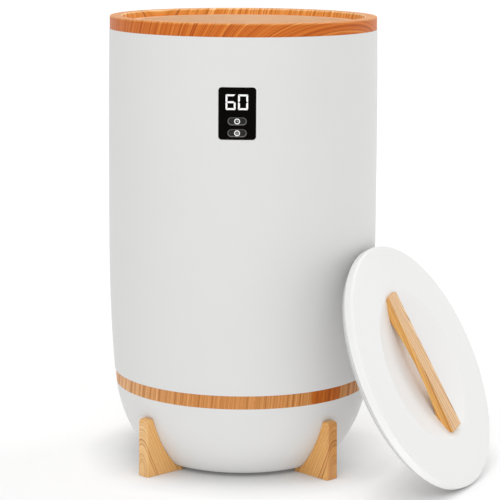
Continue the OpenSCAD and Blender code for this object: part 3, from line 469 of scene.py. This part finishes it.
def foot(name, turn_degrees, seed, flank=plain_flank, outer=plain_outer):
    """One foot, turned round the bucket's axis. The seed moves its timber's heart, and its flanks
    and its outer face each take a given tint; the front-left foot's paler ones are painted light,
    with a painted highlight on its outer face."""
    turn = math.radians(turn_degrees)
    saddle = base_side(foot_top)
    corner = arc(foot_out - foot_round, foot_top - foot_round, foot_round, math.pi / 2, 0, 7)
    outline = np.concatenate([saddle, corner, [(foot_out, floor_z), (foot_in, floor_z)]])
    on_saddle = np.arange(len(outline)) < len(saddle)

    def place(side, share):
        """Across the foot by a share of its width, which tapers with height. A point of the
        saddle keeps its distance from the bucket's axis: its reach is the root of radius
        squared less offset squared."""
        taper = (side[:, 1] - floor_z) / (foot_top - floor_z)
        offset = share * (foot_width + (foot_top_width - foot_width) * taper) / 2
        reach = np.where(on_saddle, np.sqrt(side[:, 0] ** 2 - offset ** 2), side[:, 0])
        return np.stack([reach * math.cos(turn) - offset * math.sin(turn),
                         reach * math.sin(turn) + offset * math.cos(turn), side[:, 1]], 1)

    points, faces = slab(outline, np.linspace(-1, 1, 5), place)
    heart = (foot_out * math.cos(turn) + seed[0] * math.sin(turn),
             foot_out * math.sin(turn) - seed[0] * math.cos(turn), seed[1])
    lean = Euler((0, math.radians(27), turn)).to_matrix().to_euler()
    out = (math.cos(turn), math.sin(turn), 0)

    def sides_pale(add, place):
        """One tint over the whole foot, and another one on its outer face: by the distance along
        the foot's direction. On the front-left foot these are painted light and a painted
        highlight."""
        reach = add("VectorMath", {0: place, 1: out}, operation="DOT_PRODUCT").outputs["Value"]
        face = add("MapRange", {"Value": reach, "From Min": foot_out - 0.003,
                                "From Max": foot_out})
        return [(1.0, flank), (face.outputs[0], [o / f for o, f in zip(outer, flank)])]

    wood = timber("foot_wood" + name[4:], ((0.56, 0.225, 0.042), (0.74, 0.35, 0.080),
                                           (0.83, 0.43, 0.115), (0.90, 0.52, 0.17)),
                  (0.28, 0.42, 0.56, 0.72), heart, tuple(lean), 0.0034, wander=0.008, gloss=0.26,
                  lines=0.9, specular=0.7, paler=sides_pale)
    shape = piece(name + "_timber", points, faces, "bucket", "foot_wood", wood, [name])

    def touching(place):
        """True on the saddle, at its radius for that height, and on the sole."""
        radius = np.interp(place[:, 2], saddle[:, 1], saddle[:, 0])
        return ((np.hypot(place[:, 0], place[:, 1]) < radius + 0.00005) & (place[:, 2] > -0.0005)
                | (place[:, 2] < floor_z + 0.0001))

    round_edges(shape, width=0.0034, steps=5, touching=touching)


# this foot faces the lamps: its paler tints are painted light, and on its outer face a painted
# highlight
foot("foot_front_left", 225, (0.002, 0.002), painted_light_flank, painted_highlight_outer)
foot("foot_front_right", 315, (-0.003, 0.004))
foot("foot_rear_right", 45, (0.001, -0.002))
foot("foot_rear_left", 135, (-0.002, 0.003))


# Lid's frame: the lid leans on the right of the body, its handle outwards. Its own X and Y lie
# in its underside, and Z stands out of its top.
body_r, lean_gap = 0.150, 0.0003
lid_lean, lid_turn = math.radians(26), math.radians(65)
lid_r, lid_low_round, plug_r, plug_h, lid_top = 0.139, 0.0015, 0.1325, 0.0065, 0.010
# its plug's upper edge stands the gap clear of the body, and its rounded rim is on the floor
lid_out = body_r + lean_gap + plug_r * math.sin(lid_lean) + plug_h * math.cos(lid_lean)
lid_up = (floor_z + (lid_r - lid_low_round) * math.cos(lid_lean)
          - lid_low_round * math.sin(lid_lean) + lid_low_round)
lid_frame = (Matrix.Translation((lid_out * math.sin(lid_turn), -lid_out * math.cos(lid_turn),
                                 lid_up))
             @ Matrix.Rotation(lid_turn, 4, "Z")
             @ Matrix.Rotation(math.pi / 2 - lid_lean, 4, "X"))
dish_r, dish_depth = 0.086, 0.016
dish_curve = (dish_r ** 2 + dish_depth ** 2) / (2 * dish_depth)
dish_centre = lid_top - dish_depth + dish_curve


# Handle: one bar of light timber that bridges the dish, flat on top and arched beneath, with
# its ends seated on the dish's slope and held by a screw each from below.
handle_long, handle_wide, handle_top, handle_thin = 0.163, 0.023, 0.013, 0.007
handle_turn, handle_shift, arch_drop, arch_share = math.radians(8), 0.003, 0.005, 0.75
arch_half = arch_share * handle_long / 2
arch_curve = (arch_half ** 2 + arch_drop ** 2) / (2 * arch_drop)
arch_centre = handle_top - handle_thin - arch_curve
# the top's paler tint is painted light on the bar's upward face
bar_tint, bar_top_light_tint = (1.12, 1.06, 0.92), (1.04, 1.25, 2.28)


def handle():
    """The bar's outline in side view runs along its seat on the dish, under its arch, along the
    other seat and back along its flat top. It is carried across the bar and put in the lid."""
    half = handle_long / 2
    seat_curve = dish_curve - seat_gap
    # where the arch meets the dish: both heights as functions of the distance from the middle
    reach = np.linspace(0.04, half, 4001)
    arch = arch_centre + np.sqrt(arch_curve ** 2 - reach ** 2)
    dish = dish_centre - np.sqrt(seat_curve ** 2 - reach ** 2)
    meet = reach[np.argmin(np.abs(arch - dish))]
    seat = np.linspace(half, meet, 12)
    under = np.linspace(meet, -meet, 41)[1:-1]
    run = np.concatenate([seat, under, -seat[::-1]])
    seated = np.concatenate([seat * 0 + 1, under * 0, seat * 0 + 1]) > 0
    low = np.where(seated, dish_centre - np.sqrt(seat_curve ** 2 - run ** 2),
                   arch_centre + np.sqrt(arch_curve ** 2 - run ** 2))
    top = np.linspace(-half, half, 13)
    outline = np.concatenate([np.stack([run, low], 1),
                              np.stack([top, np.full(len(top), handle_top)], 1)])
    on_dish = np.concatenate([seated, np.zeros(len(top), bool)])

    def place(side, share):
        """Across the bar by a share of its width. A seated point's height is the dish's: its
        centre less the root of the sphere's radius squared less both distances squared."""
        offset = share * handle_wide / 2
        along = side[:, 0] + handle_shift
        height = np.where(on_dish, dish_centre - np.sqrt(
            seat_curve ** 2 - along ** 2 - offset ** 2), side[:, 1])
        flat = np.stack([offset * math.cos(handle_turn) - along * math.sin(handle_turn),
                         offset * math.sin(handle_turn) + along * math.cos(handle_turn),
                         height, np.ones(len(side))], 1)
        return (flat @ np.array(lid_frame).T)[:, :3]

    points, faces = slab(outline, np.linspace(-1, 1, 5), place)
    bar_turn = lid_frame.to_3x3() @ Matrix.Rotation(handle_turn, 3, "Z")
    # fibres along the bar: its Y becomes the timber's Z
    fibre_turn = bar_turn @ Matrix.Rotation(math.radians(-87), 3, "X")
    heart = lid_frame @ Vector((0.010, 0.02, -0.004))
    face_out = lid_frame.to_3x3() @ Vector((0, 0, 1))
    face_at = (lid_frame @ Vector((0, 0, handle_top))).dot(face_out)

    def bar_top_light(add, place):
        """A warmer tone all over, and on the top face a paler one that is painted light, as the
        top catches more light than the sides: by the depth below the top's plane."""
        level = add("VectorMath", {0: place, 1: tuple(face_out)}, operation="DOT_PRODUCT")
        share = add("MapRange", {"Value": level.outputs["Value"], "From Min": face_at - 0.0020,
                                 "From Max": face_at - 0.0003})
        return [(1.0, bar_tint), (share.outputs[0], bar_top_light_tint)]

    wood = timber("handle_wood", ((0.56, 0.25, 0.060), (0.70, 0.37, 0.110), (0.77, 0.45, 0.155),
                                  (0.80, 0.51, 0.21)),
                  (0.30, 0.44, 0.55, 0.68), tuple(heart), tuple(fibre_turn.to_euler()), 0.0027,
                  wander=0.007, gloss=0.36, lines=1.0, paler=bar_top_light, specular=0.35)
    shape = piece("handle_bar", points, faces, "lid", "handle_wood", wood, ["lid_handle"])
    back = np.array(lid_frame.inverted()).T

    def touching(place):
        """True where a point lies on the dish's sphere."""
        own = (np.concatenate([place, np.ones((len(place), 1))], 1) @ back)[:, :3]
        reach = np.linalg.norm(own - (0, 0, dish_centre), axis=1)
        return np.abs(reach - seat_curve) < 0.00003

    round_edges(shape, width=0.0017, steps=4, touching=touching)


handle()


# Control panel: a black window flush with the body, a lit two-digit display behind it, and two
# capsule keys that stand a little proud in it, each with a thin paler rim that is a painted
# highlight on its edge, and a white symbol.
panel_z, panel_wide, panel_high, panel_corner, panel_gap = 0.403, 0.0396, 0.055, 0.0038, 0.0002
key_wide, key_high, key_gap, key_proud = 0.0205, 0.0086, 0.00025, 0.0003
key_drops = (0.0080, 0.0203)
belly_z, belly_curve = 0.291, 10.1345
capsule_steps = 14
rim_clear, side_clear = 0.55, 0.05


def body_front(x, z):
    """Depth of the body's front at a place in front view: the root of its radius squared less
    x squared, where the radius pulls in above the belly on a large circle."""
    rise = np.maximum(z - belly_z, 0)
    radius = body_r - belly_curve + np.sqrt(belly_curve ** 2 - rise ** 2)
    return -np.sqrt(radius ** 2 - x ** 2)


def inside(points, loop):
    """Even-odd rule: a point lies in a loop when a level ray from it crosses an odd number of
    the loop's sides."""
    start, stop = loop, np.roll(loop, -1, axis=0)
    x, z = points[:, None, 0], points[:, None, 1]
    spans = (start[:, 1] > z) != (stop[:, 1] > z)
    rise = np.where(stop[:, 1] == start[:, 1], 1, stop[:, 1] - start[:, 1])
    meets = (stop[:, 0] - start[:, 0]) * (z - start[:, 1]) / rise + start[:, 0]
    return (spans & (x < meets)).sum(1) % 2 == 1


def plate(edge, holes, spacing, front, back):
    """Points and faces of a plate shaped in front view: its edge and holes are closed loops of
    (x, z), a lattice of points fills it, and its two skins lie at the depths that the front and
    back functions give. Strips join the skins along every loop."""
    loops = [np.asarray(loop, float) for loop in [edge] + list(holes)]
    rim = np.concatenate(loops)
    low, high = loops[0].min(0), loops[0].max(0)
    x, z = np.meshgrid(np.arange(low[0] + spacing / 2, high[0], spacing),
                       np.arange(low[1] + spacing / 2, high[1], spacing))
    fill = np.stack([x.ravel(), z.ravel()], 1)

    def solid(points):
        """True inside the edge and outside every hole."""
        kept = inside(points, loops[0])
        for hole in loops[1:]:
            kept &= ~inside(points, hole)
        return kept

    clear = np.linalg.norm(fill[:, None] - rim, axis=2).min(1) > spacing * rim_clear
    # and none may lie on a side: the distance is to the nearest point of each side
    run = np.concatenate([np.roll(loop, -1, axis=0) for loop in loops]) - rim
    share = ((fill[:, None] - rim) * run).sum(2) / (run ** 2).sum(1)
    nearest = rim + np.clip(share, 0, 1)[:, :, None] * run
    clear &= np.linalg.norm(fill[:, None] - nearest, axis=2).min(1) > spacing * side_clear
    flat = np.concatenate([rim, fill[solid(fill) & clear]])
    sides, start = [], 0
    for loop in loops:
        index = np.arange(start, start + len(loop))
        sides.append(np.stack([index, np.roll(index, -1)], 1))
        start += len(loop)
    sides = np.concatenate(sides)
    out = delaunay_2d_cdt([Vector(p) for p in flat.tolist()], sides.tolist(), [], 0, 1e-9)
    flat = np.array([tuple(p) for p in out[0]])
    triangles = np.array(out[2])
    triangles = triangles[solid(flat[triangles].mean(1))]
    count = len(flat)
    skins = np.concatenate([
        np.stack([flat[:, 0], depth(flat[:, 0], flat[:, 1]), flat[:, 1]], 1)
        for depth in (front, back)])
    walls = np.stack([sides[:, 0], sides[:, 1], sides[:, 1] + count, sides[:, 0] + count], 1)
    return skins, triangles.tolist() + (triangles[:, ::-1] + count).tolist() + walls.tolist()


def joined(plates):
    """Points and faces of several plates as one."""
    points, faces, start = [], [], 0
    for some, own in plates:
        points.append(some)
        faces += [[corner + start for corner in face] for face in own]
        start += len(some)
    return np.concatenate(points), faces


def sunk(depth):
    """Depth function of a skin that lies behind the body's front by a depth."""
    return lambda x, z: body_front(x, z) + depth


def rounded_box(wide, high, radius, centre=(0, 0), steps=10):
    """Loop of a rectangle with round corners: four quarter circles, joined in turn."""
    turns = [arc(centre[0] + x * (wide / 2 - radius), centre[1] + z * (high / 2 - radius), radius,
                 start, start + math.pi / 2, steps)
             for x, z, start in ((1, 1, 0), (-1, 1, math.pi / 2), (-1, -1, math.pi),
                                 (1, -1, 1.5 * math.pi))]
    loop = np.concatenate(turns)
    return loop[np.linalg.norm(loop - np.roll(loop, 1, axis=0), axis=1) > 1e-7]


key_centres = [(0.0, panel_z - drop) for drop in key_drops]
black_gloss = moulded("black_gloss", (0.0020, 0.0013, 0.0012), (0.0030, 0.0019, 0.0017), 0.14,
                      texture=900.0, depth=0.000002, specular=0.02)
window_holes = [rounded_box(key_wide + 2 * key_gap, key_high + 2 * key_gap,
                            key_high / 2 + key_gap, centre, capsule_steps)
                for centre in key_centres]
window_edge = rounded_box(panel_wide - 2 * panel_gap, panel_high - 2 * panel_gap, panel_corner,
                          (0, panel_z))
piece("window", *plate(window_edge, window_holes, 0.0015, sunk(0.00005), sunk(0.0024)), "bucket",
      "black_gloss", black_gloss, ["panel_window"])


# Display digits: six lit bars each, mitred where they meet, seen as white shapes level with
# the window's face.
digit_high, digit_wide, bar_wide, bar_gap = 0.0162, 0.0104, 0.0019, 0.00027
digit_pitch, digit_shift, digit_up = 0.0130, -0.0004, 0.0120


def digit_bars(centre_x, letters):
    """Plates of the lit bars of one digit, lettered a to g clockwise from the top, g across
    the middle. The top bar is a trapezium and an upright one is cut slantwise at its ends, and
    the others are these mirrored by the signs of x and z."""
    x, z, w, g = digit_wide / 2, digit_high / 2, bar_wide, bar_gap
    level = np.array([(-x + g, z), (x - g, z), (x - w - g, z - w), (-x + w + g, z - w)])
    upright = np.array([(x, z - g), (x - w, z - w - g), (x - w, w / 2 + g), (x - w / 2, g),
                        (x, g)])
    middle = np.array([(-x + w / 2 + g, 0), (-x + w + g, w / 2), (x - w - g, w / 2),
                       (x - w / 2 - g, 0), (x - w - g, -w / 2), (-x + w + g, -w / 2)])
    shapes = {"a": level, "b": upright, "c": upright * (1, -1), "d": level * (1, -1),
              "e": upright * (-1, -1), "f": upright * (-1, 1), "g": middle}
    return [plate(shapes[letter] + (centre_x, panel_z + digit_up), [], 0.0012, sunk(-0.00002),
                  sunk(0.0001)) for letter in letters]


def lit(name, colour, strength):
    """Lit or printed white: mostly its own light, so that it reads the same in any room, with
    a faint unevenness."""
    material, add = new_finish(name)
    place = add("TexCoord").outputs["Object"]
    cloud = add("TexNoise", {"Vector": place, "Scale": 420.0, "Detail": 2.0})
    skin = add("BsdfPrincipled", {
        "Base Color": blended(add, cloud.outputs["Fac"], tone([0.5 * part for part in colour]),
                              tone([0.45 * part for part in colour])),
        "Roughness": 0.4, "Specular IOR Level": 0.2, "Emission Color": tone(colour),
        "Emission Strength": strength})
    add("OutputMaterial", {"Surface": skin.outputs[0]})
    return material


piece("digits", *joined(digit_bars(digit_shift - digit_pitch / 2, "acdefg")
                        + digit_bars(digit_shift + digit_pitch / 2, "abcdef")),
      "bucket", "inner_white", lit("lit_white", (1.0, 1.0, 1.0), 0.58))


# Keys: semi-gloss black capsules with rolled edges. The upper one carries a clock for the
# timer, the lower one the common on-and-off sign.
button_black = moulded("button_black", (0.0065, 0.006, 0.006), (0.010, 0.0092, 0.0092), 0.32,
                       texture=1800.0, depth=0.000006, specular=0.22)
# a paler grey ring round each key, as a painted highlight on its rolled edge
rim_grey = moulded("rim_grey", (0.115, 0.108, 0.106), (0.145, 0.138, 0.135), 0.35,
                   texture=1800.0, depth=0.000004)
# the keys' printed white symbols glow: painted light
printed_white = lit("printed_white", (0.98, 0.98, 0.98), 0.56)
key_deep, key_roll = 0.0025, 0.0007
rim_inset, rim_side, rim_end, rim_rise = 0.00035, 0.0010, 0.0011, 0.00028
sign_outer, sign_inner, print_spacing = 0.0030, 0.0021, 0.002


def ring_loop(centre, radius, steps=28):
    """Closed loop of a circle."""
    return arc(*centre, radius, 0, 2 * math.pi, steps + 1)[:-1]


def open_ring(centre, outer, inner, gap_turn, steps=22):
    """Loop of a ring that is open at the top by an angle."""
    start, stop = math.pi / 2 + gap_turn / 2, 2.5 * math.pi - gap_turn / 2
    return np.concatenate([arc(*centre, outer, start, stop, steps),
                           arc(*centre, inner, stop, start, steps)])


def key(name, node, body, centre, sign):
    """Key's cap, its rim and its sign. The cap is nested capsules, each further in and further
    forward, so that a quarter circle rolls its wall over into its face: the inset is the roll
    less the roll times the cosine, and the depth the same with the sine."""
    x, z = centre
    radius = key_high / 2
    turns = np.linspace(0, math.pi / 2, 6)[1:]
    flat = np.linspace(key_roll, radius * 0.985, 7)[1:]
    insets = np.concatenate([[0, 0], key_roll * (1 - np.cos(turns)), flat])
    depths = np.concatenate([[key_deep, key_roll - key_proud],
                             key_roll * (1 - np.sin(turns)) - key_proud,
                             np.full(len(flat), -key_proud)])

    def capsule(inset):
        """Loop of the key's shape, drawn in by an inset."""
        return rounded_box(key_wide - 2 * inset, key_high - 2 * inset, radius - inset, centre,
                           capsule_steps)

    def place(outline, layer):
        """A layer's own capsule at its own depth, with as many points as the outline."""
        loop = capsule(insets[layer])
        depth = body_front(loop[:, 0], loop[:, 1]) + depths[layer]
        return np.stack([loop[:, 0], depth, loop[:, 1]], 1)

    points, faces = slab(capsule(0), range(len(insets)), place)
    piece(name, points, faces, body, "button_black", button_black, [node])
    # the rim is a painted highlight on the key's edge, broader along the bottom, because its inner
    # edge sits a little higher
    rim_inner = rounded_box(key_wide - 2 * rim_end, key_high - 2 * rim_side, radius - rim_side,
                            (x, z + rim_rise), capsule_steps)
    rim = plate(capsule(rim_inset), [rim_inner], print_spacing, sunk(-key_proud - 0.00004),
                sunk(-key_proud + 0.0003))
    piece(name + "_rim", *rim, body, "button_black", rim_grey)
    printed = [(ring_loop(centre, sign_outer), [ring_loop(centre, sign_inner)])]
    printed += [(loop, []) for loop in sign(x, z)]
    plates = [plate(edge, holes, print_spacing, sunk(-key_proud - 0.00005),
                    sunk(-key_proud + 0.0002)) for edge, holes in printed]
    piece(name + "_sign", *joined(plates), body, "button_black", printed_white)


def clock_hands(x, z):
    """Two hands from the middle: one up, one to the right."""
    half, long, short = 0.0002, 0.0012, 0.0010
    return [np.array([(x - half, z - half), (x + short, z - half), (x + short, z + half),
                      (x + half, z + half), (x + half, z + long), (x - half, z + long)])]


def power_sign(x, z):
    """Open ring with an upright stroke in its gap."""
    half, foot_z, head_z = 0.00015, z + 0.0002, z + 0.0013
    return [open_ring((x, z - 0.0001), 0.0011, 0.00085, math.radians(90)),
            np.array([(x - half, foot_z), (x + half, foot_z), (x + half, head_z),
                      (x - half, head_z)])]


key("timer_key_cap", "timer_button", "timer_key", key_centres[0], clock_hands)
key("power_key_cap", "power_button", "power_key", key_centres[1], power_sign)


# Chamber: a drawn aluminium tub, its pale warm peach colour a painted reflection of the wooden
# ring above it, with faint turning lines round it. Bare metals: heater foil, sensors and screws.
def coated(name, colour, shade, roughness):
    """Coated sheet: noise drawn out round the axis gives the turning lines, as fine steps of
    tone, gloss and height."""
    material, add = new_finish(name)
    place = add("TexCoord").outputs["Object"]
    drawn = add("VectorMath", {0: place, 1: (0.12, 0.12, 1)}, operation="MULTIPLY").outputs[0]
    lines = add("TexNoise", {"Vector": drawn, "Scale": 520.0, "Detail": 3.0})
    rough = add("MapRange", {"Value": lines.outputs["Fac"], "To Min": roughness - 0.06,
                             "To Max": roughness + 0.06})
    raised = add("Bump", {"Height": lines.outputs["Fac"], "Strength": 0.25, "Distance": 0.00004})
    skin = add("BsdfPrincipled", {
        "Base Color": blended(add, lines.outputs["Fac"], tone(shade), tone(colour)),
        "Metallic": 0.25, "Roughness": rough.outputs[0], "Normal": raised.outputs[0]})
    add("OutputMaterial", {"Surface": skin.outputs[0]})
    return material


def metal(name, colour, roughness, streak, stretch=(1, 1, 1)):
    """Bare metal: a noise stretched along one direction drives its gloss and raises fine
    lines, and two close colours drift over it."""
    material, add = new_finish(name)
    place = add("TexCoord").outputs["Object"]
    drawn = add("VectorMath", {0: place, 1: stretch}, operation="MULTIPLY").outputs[0]
    lines = add("TexNoise", {"Vector": drawn, "Scale": streak, "Detail": 3.0})
    slow = add("TexNoise", {"Vector": place, "Scale": 20.0, "Detail": 2.0})
    rough = add("MapRange", {"Value": lines.outputs["Fac"], "To Min": roughness - 0.06,
                             "To Max": roughness + 0.08})
    raised = add("Bump", {"Height": lines.outputs["Fac"], "Strength": 0.2, "Distance": 0.00003})
    skin = add("BsdfPrincipled", {
        "Base Color": blended(add, slow.outputs["Fac"], tone(colour),
                              tone([0.93 * part for part in colour])),
        "Metallic": 1.0, "Roughness": rough.outputs[0], "Normal": raised.outputs[0]})
    add("OutputMaterial", {"Surface": skin.outputs[0]})
    return material


# the peach tone is a painted reflection of the wood ring in the tub's wall
coat(coated("chamber_coat", (1.0, 0.80, 0.57), (0.99, 0.68, 0.43), 0.34), "chamber_liner")
coat(metal("heater_foil", (0.72, 0.43, 0.27), 0.36, 300.0), "side_heater", "bottom_heater")
coat(metal("sensor_metal", (0.70, 0.70, 0.72), 0.34, 1500.0), "thermostat", "thermal_fuse",
     "temperature_sensor")
coat(metal("screw_steel", (0.62, 0.62, 0.64), 0.30, 2200.0, (1, 1, 0.2)), "deck_screws",
     "cover_screws", "foot_screws", "board_screws", "display_screws", "handle_screws",
     "lid_screws")


# Hidden and rear parts: felt round the chamber, plain inner mouldings, the cord's gland, boards
# with their parts, wires, the flat cable and the lid's silicone ring.
def felt(name, colour):
    """Needled felt: short tangled fibres from a stretched noise, with sheen."""
    material, add = new_finish(name)
    place = add("TexCoord").outputs["Object"]
    tangle = add("TexNoise", {"Vector": place, "Scale": 480.0, "Detail": 5.0, "Distortion": 2.0})
    raised = add("Bump", {"Height": tangle.outputs["Fac"], "Strength": 0.6, "Distance": 0.0006})
    skin = add("BsdfPrincipled", {
        "Base Color": blended(add, tangle.outputs["Fac"], tone([0.75 * part for part in colour]),
                              tone(colour)),
        "Roughness": 0.95, "Normal": raised.outputs[0], "Sheen Weight": 0.4,
        "Sheen Roughness": 0.5})
    add("OutputMaterial", {"Surface": skin.outputs[0]})
    return material


coat(felt("insulation_felt", (0.86, 0.83, 0.74)), "insulation_sleeve", "insulation_disc",
     "lid_insulation")
coat(moulded("inner_white", (0.84, 0.84, 0.83), (0.80, 0.80, 0.79), 0.5), "inner_deck")
coat(moulded("black_plastic", (0.045, 0.045, 0.048), (0.06, 0.06, 0.063), 0.5, texture=1400.0,
             depth=0.00006), "cord_gland", "gland_nut", "panel_carrier")
coat(moulded("board_green", (0.05, 0.24, 0.12), (0.08, 0.30, 0.16), 0.35, texture=700.0),
     "control_board", "display_board")
coat(moulded("part_black", (0.06, 0.06, 0.065), (0.09, 0.09, 0.10), 0.4), "board_parts",
     "display_module", "button_switches")
coat(moulded("lead_red", (0.55, 0.07, 0.04), (0.62, 0.12, 0.07), 0.45), "heater_leads")
coat(moulded("lead_brown", (0.22, 0.11, 0.05), (0.30, 0.17, 0.09), 0.45), "supply_leads")
coat(moulded("ribbon_grey", (0.70, 0.70, 0.70), (0.62, 0.62, 0.62), 0.45), "display_cable")
coat(moulded("seal_silicone", (0.80, 0.80, 0.79), (0.74, 0.74, 0.73), 0.38), "lid_seal")
